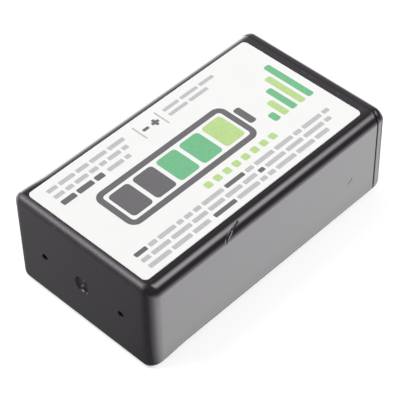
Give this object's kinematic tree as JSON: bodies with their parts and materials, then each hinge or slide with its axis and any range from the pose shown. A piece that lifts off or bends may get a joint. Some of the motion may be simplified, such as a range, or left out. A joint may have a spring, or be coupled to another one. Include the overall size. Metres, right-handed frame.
{
  "type": "nine volt battery",
  "caption": "Rectangular nine volt rechargeable battery: moulded case, terminal cap with a stud and a spring socket, white label, and a stack of flat cells inside.",
  "frame": {"origin": "centre of the flat back face, which the battery lies on", "axes": "+X along the case towards the two snaps, +Y across the case towards the negative snap, +Z out of the back through the label"},
  "size_m": [0.0484, 0.026, 0.0161],
  "materials": {
    "case": "near-black moulded plastic, satin on the ends and glossy on the sides",
    "cap": "near-black moulded plastic",
    "label": "white film sticker with green and dark grey print",
    "snap": "nickel plated sheet",
    "rivet": "nickel plated",
    "cell": "nickel plated can",
    "strip": "bare nickel strip",
    "film": "thin shrink film",
    "card": "pressed insulating card",
    "foam": "closed cell foam"
  },
  "bodies": {
    "root": {"housing": "case", "end_cap": "cap", "label": "label", "positive_snap": "snap", "negative_snap": "snap", "positive_rivet": "rivet", "negative_rivet": "rivet", "cell_1": "cell", "cell_2": "cell", "cell_3": "cell", "cell_4": "cell", "cell_5": "cell", "cell_6": "cell", "cell_7": "cell", "cell_link_1": "strip", "cell_link_2": "strip", "cell_link_3": "strip", "cell_link_4": "strip", "cell_link_5": "strip", "cell_link_6": "strip", "positive_lead": "strip", "negative_lead": "strip", "stack_sleeve": "film", "top_card": "card", "bottom_pad": "foam"}
  },
  "joints": []
}
